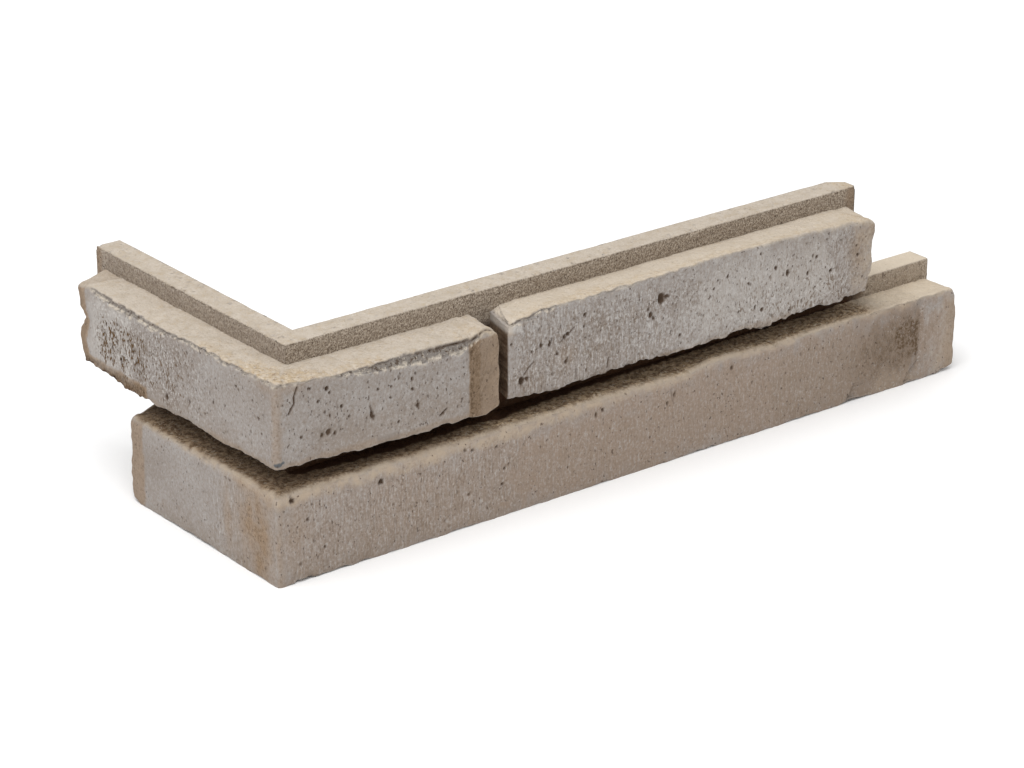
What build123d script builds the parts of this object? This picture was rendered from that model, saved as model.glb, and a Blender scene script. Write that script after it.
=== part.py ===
# Concrete corner brick slip: one casting of two staggered courses of long, low
# brick faces that stand proud of an L-shaped joint plate.
# Millimetres, +Z up. X runs along the long leg, Y along the short leg, and the
# origin is the centre of the box the casting fills, at its base.
from build123d import *
import os

# Joint plate, the L-shaped web that carries the bricks and shows as the joints
plate_thickness = 15.5
lower_plate_setback = 3.0
lower_plate_tongue = 8.0
upper_plate_overhang = 3.5
upper_plate_tongue = 14.0
lower_strip_height = 11.7
top_lip_height = 10.6
lip_chamfer = 0.8
broken_corner_long = 9.0
broken_corner_deep = 7.0

# Brick faces
brick_projection = 21.5
lower_brick_foot = 0.8
lower_brick_height = 49.2
upper_brick_height = 42.9
bed_joint = 15.0
head_joint = 5.0
lower_brick_long = 468.0
lower_brick_short = 136.0
corner_brick_long = 139.5
upper_bricks_long = 401.5
upper_brick_short = 182.0

# Cast edges
bury = 3.0
lower_arris_radius = 2.0
upper_arris_radius = 1.6
arris_share = 0.85
corner_radius = 2.5
short_end_radius = 8.0
long_end_radius = 2.0
head_end_radius = 1.0
short_end_draft = 6.0
long_end_draft = 1.0
chipped_end_long = 3.5
chipped_end_deep = 6.5

# Waves of the cast edges on the faces, at shares of a brick's length along a leg: how far the top
# arris and the foot stand off their levels there. Corner values hold at the start of both legs.
lower_corner_wave = (0.0, 0.0)
lower_long_waves = [
    (0.13, 0.0, -0.2),
    (0.30, -0.5, -0.6),
    (0.43, -0.3, -0.6),
    (0.56, -1.5, -0.4),
    (0.62, 1.2, 0.0),
    (0.71, -0.4, 0.0),
    (0.82, 0.5, 0.6),
    (0.91, 0.0, -0.4),
    (0.96, -0.9, 0.4),
]
lower_short_waves = [(0.35, -0.2, 0.0), (0.70, -1.2, 0.6), (0.84, -1.6, -0.4)]
lower_long_end_wave = (-1.5, 3.2)
lower_short_end_wave = (-3.0, 1.5)
upper_corner_wave = (1.4, -0.6)
corner_long_waves = [(0.33, -2.0, -0.8), (0.53, -1.4, -2.3), (0.73, -2.0, -2.9), (0.87, -2.8, -3.7)]
corner_long_end_wave = (-1.2, -1.6)
corner_short_waves = [
    (0.28, 1.0, -1.5),
    (0.45, 0.4, -1.2),
    (0.62, -0.8, -2.1),
    (0.69, -0.4, -3.0),
    (0.80, 0.3, -1.7),
    (0.93, 0.5, -0.6),
]
corner_short_end_wave = (-1.0, -0.2)
second_start_wave = (-1.5, -0.3)
second_waves = [
    (0.10, 1.5, -2.4),
    (0.19, 1.2, -3.0),
    (0.29, 1.4, -0.4),
    (0.39, 1.9, -1.2),
    (0.52, 2.5, -1.6),
    (0.61, 2.4, -0.3),
    (0.69, 2.1, -3.0),
    (0.80, 1.3, -2.2),
    (0.90, 0.0, -1.7),
    (0.95, -2.4, -0.1),
]
second_end_wave = (-5.0, -0.4)

# Larger air holes on the long face: along the leg, height, radius
air_holes = [
    (246.0, 96.5, 1.6),
    (238.5, 88.5, 1.1),
    (183.5, 91.0, 1.3),
    (172.0, 89.0, 1.0),
    (153.0, 73.5, 1.5),
    (102.5, 68.5, 1.2),
    (86.0, 77.0, 1.0),
    (57.5, 79.0, 1.0),
    (30.0, 77.5, 1.2),
    (30.0, 101.0, 0.9),
    (63.0, 41.0, 1.2),
    (8.5, 45.0, 1.1),
]

# Levels and outer sizes that follow from the values above
wall = brick_projection + plate_thickness
bury_line = brick_projection + bury
lower_top = lower_brick_foot + lower_brick_height
strip_top = lower_top + lower_strip_height
upper_foot = lower_top + bed_joint
upper_top = upper_foot + upper_brick_height
overall_height = upper_top + top_lip_height
overall_long = lower_brick_long
overall_short = upper_brick_short + upper_plate_tongue
lower_plate_long = lower_brick_long - lower_plate_setback
lower_plate_short = lower_brick_short + lower_plate_tongue
upper_plate_long = upper_bricks_long + upper_plate_overhang
upper_plate_short = upper_brick_short + upper_plate_tongue
second_start = corner_brick_long + head_joint
second_length = upper_bricks_long - second_start
corner = Vector(-overall_long / 2, -overall_short / 2, 0)
plan = Plane(origin=corner)
mitre = Plane(origin=corner, x_dir=(1, 1, 0), z_dir=(1, -1, 0))


def on_long(depth, along, level):
    """Plane of the long face, moved in by a depth: x runs along the leg and y goes up."""
    return Plane(origin=corner + Vector(along, depth, level), x_dir=(1, 0, 0), z_dir=(0, -1, 0))


def on_short(depth, along, level):
    """Plane of the short face, moved in by a depth: x runs along the leg and y goes up."""
    return Plane(origin=corner + Vector(depth, along, level), x_dir=(0, 1, 0), z_dir=(1, 0, 0))


def leg_stations(start, first_wave, waves, length, reach, end_wave):
    """Stations of a leg: its start, the shares of its length laid out along it, and its end."""
    laid_out = [(start + share * length, top, foot) for share, top, foot in waves]
    return [(start, *first_wave)] + laid_out + [(start + reach, *end_wave)]


def brick_outline(plane, height, straight, stations):
    """A brick seen square on: straight for its first stretch, then wavy along top and foot."""
    tops = [(along, height + top) for along, top, foot in stations]
    feet = [(along, foot) for along, top, foot in stations]
    level_ends = ((1, 0), (1, 0))
    with BuildSketch(plane) as outline:
        with BuildLine():
            top_start = Line(tops[0], (tops[0][0] + straight, tops[0][1]))
            top_wave = Spline(top_start @ 1, *tops[1:], tangents=level_ends)
            foot_start = Line(feet[0], (feet[0][0] + straight, feet[0][1]))
            foot_wave = Spline(foot_start @ 1, *feet[1:], tangents=level_ends)
            Line(top_wave @ 1, foot_wave @ 1)
            Line(foot_start @ 0, top_start @ 0)
        make_face()
    return outline.sketch


def brick_leg(face, side, level, height, straight, stations, seen_from_above):
    """A leg of a brick: ruled from the wavy outline on its face to a plain one in the plate,
    mitred at the corner, and trimmed to what the brick is from above."""
    plain_stations = [(along, 0, 0) for along, top, foot in stations]
    with BuildPart() as leg:
        add(brick_outline(face(0, 0, level), height, straight, stations))
        add(brick_outline(face(bury_line, 0, level), height, straight, plain_stations))
        loft(ruled=True)
        split(bisect_by=mitre, keep=side)
        add(seen_from_above)
        extrude(amount=overall_height, mode=Mode.INTERSECT)
    return leg.part


def corner_brick_plan(long_reach, short_reach):
    """A corner brick from above: eased corner, rounded ends, the short end drafted."""
    with BuildSketch(plan) as outline:
        with BuildLine():
            Polyline(
                (0, 0),
                (long_reach - long_end_draft, 0),
                (long_reach, bury_line),
                (bury_line, bury_line),
                (bury_line, short_reach + short_end_draft),
                (0, short_reach),
                close=True,
            )
        make_face()
        fillet(outline.vertices().group_by(Axis.Y)[0].sort_by(Axis.X)[0], corner_radius)
        fillet(outline.vertices().group_by(Axis.Y)[0].sort_by(Axis.X)[-1], long_end_radius)
        fillet(outline.vertices().group_by(Axis.X)[0].sort_by(Axis.Y)[-1], short_end_radius)
    return outline.sketch


def plate_outline(long_reach, short_reach):
    """Corners of the L-shaped plate from above."""
    return [
        (brick_projection, brick_projection),
        (long_reach, brick_projection),
        (long_reach, wall),
        (wall, wall),
        (wall, short_reach),
        (brick_projection, short_reach),
    ]


# Joint plate: the lower course is toothed out on the long leg, the upper one on the short leg
with BuildPart() as plate:
    with BuildSketch(plan):
        with BuildLine():
            Polyline(*plate_outline(lower_plate_long, lower_plate_short), close=True)
        make_face()
    extrude(amount=strip_top)
    with BuildSketch(plan.offset(strip_top)) as upper_outline:
        with BuildLine():
            Polyline(*plate_outline(upper_plate_long, upper_plate_short), close=True)
        make_face()
        far_corner = upper_outline.vertices().group_by(Axis.X)[-1].sort_by(Axis.Y)[-1]
        chamfer(far_corner, broken_corner_long, broken_corner_deep)
    extrude(amount=overall_height - strip_top)
    lip_edges = plate.edges().group_by(Axis.Z)[-1]
    chamfer([lip_edges.sort_by(Axis.Y)[0], lip_edges.sort_by(Axis.X)[0]], lip_chamfer)


def top_arrises(brick, level, height):
    """Top edges of the faces that look out; what runs on round the ends is eased with them."""
    looking_out = brick.faces().sort_by(Axis.Y)[:1] + brick.faces().sort_by(Axis.X)[:1]
    return looking_out.edges().filter_by(lambda edge: edge.center().Z > level + arris_share * height)


# Lower course: one brick that turns the corner
lower_long = leg_stations(
    0, lower_corner_wave, lower_long_waves, lower_brick_long, lower_brick_long, lower_long_end_wave
)
lower_short_reach = lower_brick_short + short_end_draft
lower_short = leg_stations(
    0, lower_corner_wave, lower_short_waves, lower_brick_short, lower_short_reach, lower_short_end_wave
)
lower_size = (lower_brick_foot, lower_brick_height, bury_line)
lower_plan = corner_brick_plan(lower_brick_long, lower_brick_short)
with BuildPart() as lower_brick:
    add(brick_leg(on_long, Keep.TOP, *lower_size, lower_long, lower_plan))
    add(brick_leg(on_short, Keep.BOTTOM, *lower_size, lower_short, lower_plan))
    fillet(top_arrises(lower_brick, lower_brick_foot, lower_brick_height), lower_arris_radius)

# Upper course: a brick that turns the corner and, past the head joint, a straight one
corner_long = leg_stations(
    0, upper_corner_wave, corner_long_waves, corner_brick_long, corner_brick_long, corner_long_end_wave
)
corner_short_reach = upper_brick_short + short_end_draft
corner_short = leg_stations(
    0, upper_corner_wave, corner_short_waves, upper_brick_short, corner_short_reach, corner_short_end_wave
)
corner_size = (upper_foot, upper_brick_height, bury_line)
corner_plan = corner_brick_plan(corner_brick_long, upper_brick_short)
with BuildPart() as corner_brick:
    add(brick_leg(on_long, Keep.TOP, *corner_size, corner_long, corner_plan))
    add(brick_leg(on_short, Keep.BOTTOM, *corner_size, corner_short, corner_plan))
    fillet(top_arrises(corner_brick, upper_foot, upper_brick_height), upper_arris_radius)

second = leg_stations(
    second_start, second_start_wave, second_waves, second_length, second_length, second_end_wave
)
second_size = (upper_foot, upper_brick_height, long_end_radius)
with BuildSketch(plan) as second_plan:
    with Locations((second_start, 0)):
        Rectangle(second_length, bury_line, align=(Align.MIN, Align.MIN))
    second_corners = second_plan.vertices().group_by(Axis.Y)[0].sort_by(Axis.X)
    fillet(second_corners[0], head_end_radius)
    fillet(second_corners[-1], long_end_radius)
with BuildPart() as second_brick:
    add(brick_leg(on_long, Keep.TOP, *second_size, second, second_plan.sketch))
    second_arris = second_brick.faces().sort_by(Axis.Y)[0].edges().sort_by(Axis.Z)[-1]
    fillet(second_arris, upper_arris_radius)
    with BuildSketch(on_long(0, second_start, upper_top)):
        with BuildLine():
            chip_foot = (0, -chipped_end_deep)
            chip_run = (2 * chipped_end_long, chipped_end_deep)
            Polyline(chip_foot, chip_run, (0, chipped_end_deep), close=True)
        make_face()
    extrude(amount=-bury_line, mode=Mode.SUBTRACT)

# The casting
with BuildPart() as corner_slip:
    add([plate.part, lower_brick.part, corner_brick.part, second_brick.part])
    for along, level, radius in air_holes:
        with Locations(corner + Vector(along, 0, level)):
            Sphere(radius, mode=Mode.SUBTRACT)

corner_slip.part.label = "corner_slip"
os.makedirs("parts", exist_ok=True)
export_step(corner_slip.part, "parts/corner_slip.step")
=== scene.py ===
import bpy
import numpy as np
from mathutils import Matrix, Vector


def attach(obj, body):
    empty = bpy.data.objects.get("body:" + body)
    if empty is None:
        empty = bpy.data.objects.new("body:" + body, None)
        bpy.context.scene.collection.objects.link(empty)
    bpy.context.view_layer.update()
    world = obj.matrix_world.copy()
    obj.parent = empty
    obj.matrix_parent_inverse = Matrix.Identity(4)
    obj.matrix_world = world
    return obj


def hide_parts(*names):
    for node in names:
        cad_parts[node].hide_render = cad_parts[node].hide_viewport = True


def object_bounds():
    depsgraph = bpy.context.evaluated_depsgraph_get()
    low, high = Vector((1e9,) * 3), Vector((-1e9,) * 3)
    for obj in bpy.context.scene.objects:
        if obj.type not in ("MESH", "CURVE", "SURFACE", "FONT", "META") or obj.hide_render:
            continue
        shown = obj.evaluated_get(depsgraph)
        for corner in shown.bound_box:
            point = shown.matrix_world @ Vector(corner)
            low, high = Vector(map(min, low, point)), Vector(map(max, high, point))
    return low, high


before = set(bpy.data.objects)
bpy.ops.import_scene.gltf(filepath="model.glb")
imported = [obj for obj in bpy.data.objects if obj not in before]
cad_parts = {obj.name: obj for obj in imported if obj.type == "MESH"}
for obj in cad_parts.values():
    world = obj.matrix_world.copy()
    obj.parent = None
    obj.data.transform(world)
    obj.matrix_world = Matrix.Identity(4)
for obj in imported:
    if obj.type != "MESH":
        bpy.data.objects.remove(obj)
cadLow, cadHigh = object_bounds()
print("frame loaded")

slip = {
    "size": [round(1000 * (high - low), 3) for low, high in zip(cadLow, cadHigh)],
    "projection": 21.5,   # bricks stand this far in front of the joint plate
    "plate": 15.5,        # thickness of the joint plate
    "bury": 3.0,          # how far the bricks run into the plate
    "lowerTop": 50.0,     # top of the lower brick, then foot and top of the upper ones
    "upperFoot": 65.0,
    "upperTop": 107.9,
    "meeting": 61.7,      # height where the two courses of the joint plate meet
    "overlap": 0.9,       # how far the upper one runs on down into the lower one
}
buried = slip["projection"] + slip["bury"]

# What all three bricks share: sizes of their noise, widths and heights of their bands, how much the
# broken places rise and sink, and the rows of their sections
cast = {
    "jag": 9.0,                    # ragged line of the foot
    "arris": 11.0,                 # wider and narrower stretches of the arris
    "footEdge": 6.0,
    "fray": 4.5,                   # ragged line between face and top
    "swell": 34.0,
    "grain": (1.8, 1.8, 3.0),
    "rolling": (11.0, 11.0, 9.0),  # slow waves of the top
    "wrinkle": (3.0, 3.0, 2.6),
    "crumb": (2.2, 2.2, 1.8),      # crumbs of a torn arris
    "gap": 6.0,                    # stretches where the fissure closes
    "chewed": (4.6, 4.6, 3.4),     # lumps of the broken foot
    "ridge": (1.0, 1.0, 1.6),      # ridges of the head joint
    "rimWide": 1.05,
    "fissureWide": 0.7,
    "crackWide": 0.45,
    "chewedHigh": 3.0,
    "darkHigh": 1.6,
    "crumbRough": 0.35,
    "tornDeep": 0.6,
    "rimRise": 0.4,
    "chewedRough": 0.8,
    "chewedDeep": 0.3,
    "fleckDeep": 0.45,
    "endReach": (16, 3),           # an end stands back or forward from 16 to 3 behind its place
    "footRows": 9,
    "footEdgeRows": 4,
    "arrisRows": 7,
}


# Value noise from -1 to 1: hashed values at the eight corners round p / size, blended with t t (3 - 2 t)
def noise(points, size, seed):
    place = points / np.asarray(size, float)
    cell = np.floor(place).astype(np.int64)
    part = place - cell
    ease = part * part * (3 - 2 * part)
    total = np.zeros(points.shape[:-1])
    for corner in range(8):
        step = np.array([corner & 1, corner >> 1 & 1, corner >> 2 & 1])
        key = cell + step
        value = key[..., 0] * 73856093 ^ key[..., 1] * 19349663 ^ key[..., 2] * 83492791 ^ seed * 40503
        value = (value ^ value >> 13) * 1274126177 & 0xFFFFFFFF
        value = (value ^ value >> 15) & 0xFFFF
        total += np.prod(np.where(step, ease, 1 - ease), axis=-1) * value
    return total / 32767.5 - 1


# Sum over k of noise(size / 2^k) / 2^k
def fractal(points, size, seed, octaves=3):
    return sum(noise(points, np.asarray(size, float) / 2**k, seed + k) / 2**k for k in range(octaves))


# 0 below low, 1 above high, t t (3 - 2 t) between
def ramp(values, low, high):
    t = np.clip((values - low) / (high - low), 0, 1)
    return t * t * (3 - 2 * t)


# Value at each place along a list of (place, value), eased with t t (3 - 2 t) from one to the next
def wave(places, table):
    table = np.array(sorted(table), float)
    i = np.clip(np.searchsorted(table[:, 0], places) - 1, 0, len(table) - 2)
    t = ramp((places - table[i, 0]) / (table[i + 1, 0] - table[i, 0]), 0, 1)
    return table[i, 1] + (table[i + 1, 1] - table[i, 1]) * t


# Open line through corners, each one rounded by the arc of its radius, cut into even steps of its length
def roundedLine(corners, radii, step):
    corners = np.array(corners, float)
    line = [corners[0]]
    for before, here, after, radius in zip(corners, corners[1:], corners[2:], radii):
        a = (before - here) / np.linalg.norm(before - here)
        b = (after - here) / np.linalg.norm(after - here)
        half = np.arccos(np.clip(a @ b, -1, 1)) / 2
        centre = here + (a + b) / np.linalg.norm(a + b) * radius / np.sin(half)
        start = here + a * radius / np.tan(half) - centre
        end = here + b * radius / np.tan(half) - centre
        turn = np.arctan2(start[0] * end[1] - start[1] * end[0], start @ end)
        for angle in np.linspace(0, turn, 9):
            c, s = np.cos(angle), np.sin(angle)
            line.append(centre + (start[0] * c - start[1] * s, start[0] * s + start[1] * c))
    line.append(corners[-1])
    line = np.array(line)
    length = np.concatenate([[0], np.cumsum(np.linalg.norm(np.diff(line, axis=0), axis=1))])
    at = np.linspace(0, length[-1], int(round(length[-1] / step)) + 1)
    return np.stack([np.interp(at, length, line[:, k]) for k in range(2)], 1), at


# Outward normals of a grid P(u, v) that wraps round in v: dP/du x dP/dv by differences between neighbours
def gridNormals(grid):
    du = np.gradient(grid, axis=0)
    dv = (np.roll(grid, -1, 1) - np.roll(grid, 1, 1)) / 2
    normal = np.cross(du, dv)
    size = np.linalg.norm(normal, axis=-1, keepdims=True)
    return np.where(size > 1e-3, normal / np.maximum(size, 1e-9), 0)


# Closed tube from a grid whose rows wrap round: four-cornered faces between neighbours, equal points
# welded, and the first and last rings closed by one face each. Values are stored per point.
def makePiece(name, grid, values):
    count, rows = grid.shape[:2]
    flat = grid.reshape(-1, 3) / 1000 - (slip["size"][0] / 2000, slip["size"][1] / 2000, 0)
    flat = np.clip(flat, np.array(cadLow), np.array(cadHigh))   # nothing stands out of the solid's box
    microns = np.round(flat * 1e6).astype(np.int64)
    unique, first, index = np.unique(microns, axis=0, return_index=True, return_inverse=True)
    index = index.reshape(count, rows)
    ahead = np.roll(index, -1, 1)
    quads = np.stack([index[:-1], index[1:], ahead[1:], ahead[:-1]], -1).reshape(-1, 4)
    same = quads == np.roll(quads, -1, 1)
    whole = quads[~same.any(1)]
    part = quads[same.sum(1) == 1]
    three = part[~(part == np.roll(part, -1, 1))].reshape(-1, 3)
    three = three[three[:, 0] != three[:, 2]]
    whole = whole[(whole[:, 0] != whole[:, 2]) & (whole[:, 1] != whole[:, 3])]
    ends = [index[0], index[-1][::-1]]
    corners = np.concatenate([whole.ravel(), three.ravel()] + ends)
    sizes = np.concatenate([np.full(len(whole), 4), np.full(len(three), 3), [len(e) for e in ends]])
    mesh = bpy.data.meshes.new(name)
    mesh.vertices.add(len(unique))
    mesh.vertices.foreach_set("co", flat[first].astype(np.float32).ravel())
    mesh.loops.add(len(corners))
    mesh.loops.foreach_set("vertex_index", corners.astype(np.int32))
    mesh.polygons.add(len(sizes))
    mesh.polygons.foreach_set("loop_start", (np.cumsum(sizes) - sizes).astype(np.int32))
    mesh.polygons.foreach_set("loop_total", sizes.astype(np.int32))
    mesh.polygons.foreach_set("use_smooth", np.ones(len(sizes), bool))
    mesh.update(calc_edges=True)
    mesh.validate()
    for key, value in values.items():
        attribute = mesh.attributes.new(key, "FLOAT", "POINT")
        attribute.data.foreach_set("value", value.reshape(-1)[first].astype(np.float32))
    piece = bpy.data.objects.new(name, mesh)
    bpy.context.scene.collection.objects.link(piece)
    piece.data.materials.append(concrete)
    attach(piece, "root")
    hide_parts("corner_slip")
    print(name, "made,", len(unique), "points")


# Depth of holes with uneven rims: the largest of deep * exp(-((da / r)^2 + (dz / (r tall))^2)^2), where
# da and dz are distances from the hole after noise has shifted the place
def holes(grid, along, level, table, seed):
    depth = np.zeros(along.shape)
    a = along + 0.3 * fractal(grid, 1.6, seed, 2)
    b = level + 0.35 * fractal(grid, 1.6, seed + 5, 2)
    for place, height, radius, tall, deep in table:
        far = ((a - place) / radius) ** 2 + ((b - height) / (radius * tall)) ** 2
        depth = np.maximum(depth, deep * np.exp(-far * far))
    return depth


# Distance in the face from a line of (along, height) points
def nearLine(along, level, line):
    near = np.full(along.shape, 1e3)
    for (a0, z0), (a1, z1) in zip(line, line[1:]):
        da, dz = a1 - a0, z1 - z0
        t = np.clip(((along - a0) * da + (level - z0) * dz) / (da**2 + dz**2), 0, 1)
        near = np.minimum(near, np.hypot(along - a0 - t * da, level - z0 - t * dz))
    return near


# Holes scattered by a seed over a stretch of face: most of them small, taller than wide
def scattered(seed, count, span, levels, radius, deep):
    rng = np.random.default_rng(seed)
    size = radius[0] + (radius[1] - radius[0]) * rng.random(count) ** 3
    return np.stack([
        rng.uniform(*span, count), rng.uniform(*levels, count), size,
        rng.uniform(0.9, 2.2, count), deep * rng.uniform(0.4, 1.0, count),
    ], 1)


# A brick as a closed surface. Plan line O(u) goes round its faces and ends, and I(u) is the nearest
# point of the line it is buried at. Section (d, z)(v) runs from the plate out along the foot, up the
# face and back over the top; the point is O + (I - O) d / D, z, moved along its normal by the relief.
def makeBrick(spec):
    # A value of the brick at some places: waved from its table, or the one number it is
    def at(name, places):
        held = spec.get(name, 0.0)
        return wave(places, held) if isinstance(held, list) else held + 0 * places

    seed = spec["seed"]
    line, length = roundedLine(spec["plan"], spec["planRadii"], spec["step"])
    inner = np.clip(line, spec["innerLow"], spec["innerHigh"])
    direction = np.gradient(line, axis=0)
    direction /= np.linalg.norm(direction, axis=1, keepdims=True)
    outward = np.stack([direction[:, 1], -direction[:, 0]], 1)
    reach = np.maximum(-np.einsum("ij,ij->i", inner - line, outward), 3.0)
    start = np.argmin(np.abs(line[:, 0] - spec["origin"]) + np.abs(line[:, 1]))
    along = length - length[start] + spec["origin"]

    top = spec["top"] + at("topWaves", along)
    foot = spec["foot"] + at("footWaves", along)
    onLine = np.stack([along, np.zeros_like(along), np.zeros_like(along)], 1)
    jag = np.minimum(fractal(onLine, cast["jag"], seed + 3), 0.6)
    foot = foot + spec["footJag"] * jag * ramp(reach, 5, 20)
    rough = 1 + 0.3 * noise(onLine, cast["arris"], seed + 5)
    arris = at("arris", along) * rough
    arrisDeep = at("arrisDeep", along) * rough
    flat = at("flat", along)                              # 0 a round arris, 1 a flat one
    footEase = spec["footRadius"] * (1 + 0.4 * noise(onLine, cast["footEdge"], seed + 6))
    high = np.linspace(0, 1, int(round((spec["top"] - spec["foot"]) / spec["rowStep"])) + 1)[1:-1]
    turn = np.linspace(0, np.pi / 2, cast["arrisRows"])
    quick = np.linspace(0, np.pi / 2, cast["footEdgeRows"])
    inward = np.linspace(0, 1, int(round(buried / spec["topStep"])) + 1)[1:]
    under = np.linspace(1, 0, cast["footRows"])[:-1]

    depth, level = [], []
    for t in under:                                       # foot, from the plate outwards
        d = footEase + (reach - footEase) * t
        depth.append(d)
        level.append(spec["foot"] + (foot - spec["foot"]) * (1 - d / reach))
    for angle in quick:                                   # eased foot edge
        depth.append(footEase * (1 - np.sin(angle)))
        level.append(foot + footEase * (1 - np.cos(angle)))
    for t in high:                                        # face
        depth.append(np.zeros_like(along))
        level.append(foot + footEase + (top - arris - foot - footEase) * t)
    for angle in turn:                                    # rounded arris
        t = angle / (np.pi / 2)
        depth.append(arrisDeep * ((1 - flat) * (1 - np.cos(angle)) + flat * t))
        level.append(top - arris + arris * ((1 - flat) * np.sin(angle) + flat * t))
    topEdge = level[-1]
    for t in inward:                                      # top, back to the plate
        level.append(topEdge + (spec["top"] - topEdge) * t)
        depth.append(arrisDeep + (reach - arrisDeep) * t)
    depth.append(reach)                                   # the buried side
    level.append((spec["top"] + spec["foot"]) / 2 + 0 * along)
    depth, level = np.stack(depth, 1), np.stack(level, 1)
    share = (depth / reach[:, None])[..., None]
    plan = line[:, None] + (inner - line)[:, None] * share
    grid = np.concatenate([plan, level[..., None]], -1)
    normal = gridNormals(grid)
    place = np.broadcast_to(along[:, None], depth.shape)

    upright = ramp(1 - np.abs(normal[..., 2]), 0.25, 0.7)
    over = depth - (top[:, None] - level)                 # below 0 on the face, above 0 on the top
    fray = fractal(grid, cast["fray"], seed + 8, 3)
    upper = ramp((over + spec["ragged"] * fray + at("creep", place)) / at("soft", place), -1.0, 1.0)
    crust = paint(grid, place, depth, spec["crust"], seed + 70) * upper
    shown = 1 - ramp(np.minimum(grid[..., 0], grid[..., 1]), slip["projection"] - 0.5, buried)

    # Torn arris: a sunk band below the edge, a pale rim of crumbs under it and a fissure along the top
    wide = at("tear", place)
    tearing = ramp(wide, 0.2, 1.2)
    edge = over + fray
    torn = ramp(edge, -wide - 0.5, -wide + 0.5) * (1 - ramp(edge, 0.2, 1.0)) * tearing
    crumbs = fractal(grid, cast["crumb"], seed + 10, 3)
    rim = np.exp(-((edge + wide + 0.2) / cast["rimWide"]) ** 2) * tearing
    gaps = ramp(fractal(grid, cast["gap"], seed + 44, 2), -0.5, 0.3)
    fissure = np.exp(-(edge / cast["fissureWide"]) ** 2) * at("fissure", place)
    fissure *= np.maximum(gaps, ramp(place, 70, 95))

    relief = spec["swell"] * (fractal(grid, cast["swell"], seed + 90, 2) - 0.6) * upright
    relief += spec["grain"] * fractal(grid, cast["grain"], seed + 11, 2) * (0.4 + 0.6 * upright)
    relief += spec["rolling"] * fractal(grid, cast["rolling"], seed + 31, 3) * upper
    relief += (0.14 + 0.6 * crust) * fractal(grid, cast["wrinkle"], seed + 33, 3) * upper
    sunk = torn * (cast["crumbRough"] * crumbs - cast["tornDeep"])
    relief += sunk + cast["rimRise"] * rim * ramp(crumbs, -0.3, 0.4) - fissure
    aboveFoot = level - foot[:, None]
    low = np.exp(-(aboveFoot / cast["chewedHigh"]) ** 2) * at("footRough", place)
    relief += low * (cast["chewedRough"] * fractal(grid, cast["chewed"], seed + 41, 4) - cast["chewedDeep"])
    relief -= ledges(place, level, spec.get("ledges", [])) * upright
    marks = flecks(grid, place, level, spec["flecks"], seed + 51) * upright
    table = np.concatenate([spec["holes"], scattered(*spec["scattered"])])
    pits = holes(grid, place, level, table, seed + 20) * upright
    for crack, deep in spec["cracks"]:
        near = nearLine(place, level, crack)
        pits = np.maximum(pits, deep * np.exp(-(near / cast["crackWide"]) ** 2) * upright)
    moved = grid + normal * ((relief - pits - cast["fleckDeep"] * marks) * shown)[..., None]
    behind, before = cast["endReach"]
    for axis, end, shift in ((1, spec["plan"][1][1], "leftEnd"), (0, spec["plan"][-2][0], "rightEnd")):
        moved[..., axis] -= at(shift, level) * ramp(moved[..., axis], end - behind, end - before)

    values = {}
    for name, table in spec["paint"].items():
        values[name] = paint(grid, place, level, table, seed + 60)
    for name in ("warm", "stain", "chalk", "taupe", "drawn", "slate", "beige", "fleck", "sand", "tan"):
        values[name] = values.get(name, 0 * place) * np.maximum(upright, 0.25)
    values["stain"] = np.maximum(values["stain"], 0.75 * marks * at("fleckBrown", place))
    values["stain"] = np.maximum(values["stain"], 0.8 * low * ramp(-crumbs, -0.1, 0.5))
    values["slate"] = ramp(values["slate"], 0.35, 0.6)
    values["torn"] = torn
    values["rim"] = rim * ramp(crumbs, -0.4, 0.3)
    values["upper"] = upper * (1 - torn)
    values["crust"] = crust
    values["floor"] = upper * 0
    values["pale"] = upper * 0
    # Painted shade in pits, cracks and the fissure, by their depth
    values["pit"] = np.clip(np.maximum(pits / 0.65, 0.95 * fissure), 0, 1)
    dark = np.exp(-(aboveFoot / cast["darkHigh"]) ** 2) * at("footDark", place)
    values["joint"] = dark * ramp(crumbs, -0.6, 0.3)
    # a brick's painted shade and light, with its last stains and tones
    if "shadeAndLightPaint" in spec:
        spec["shadeAndLightPaint"](values, grid, place, level, depth, over, upper)
    makePiece(spec["name"], moved, values)


# Share of a face inside soft boxes (from, to, low, high, soft, share), frayed by noise
def patches(grid, place, level, table, seed):
    fray = fractal(grid, (5.0, 5.0, 7.0), seed, 3)
    share = np.zeros(place.shape)
    for start, end, low, high, soft, strong in table:
        a = place + fray * soft
        b = level + fray * soft * 0.6
        inside = ramp(a, start - soft, start + soft) * (1 - ramp(a, end - soft, end + soft))
        inside = inside * ramp(b, low - soft, low + soft) * (1 - ramp(b, high - soft, high + soft))
        share = np.maximum(share, strong * inside)
    return share


# Share of a face in soft round stains: the largest of share exp(-(da / wide)^2 - (dz / tall)^2),
# mottled by noise
def stains(grid, place, level, table, seed):
    mottle = 1 + 0.45 * fractal(grid, (6.0, 6.0, 8.0), seed, 4)
    share = np.zeros(place.shape)
    for middle, height, wide, tall, strong in table:
        far = ((place - middle) / wide) ** 2 + ((level - height) / tall) ** 2
        share = np.maximum(share, strong * np.exp(-far))
    return np.clip(share * mottle, 0, 1)


# Paint of one kind on a face: the larger of its soft boxes and its round stains
def paint(grid, place, level, table, seed):
    boxes = patches(grid, place, level, table.get("boxes", []), seed)
    return np.maximum(boxes, stains(grid, place, level, table.get("spots", []), seed + 1))


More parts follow.
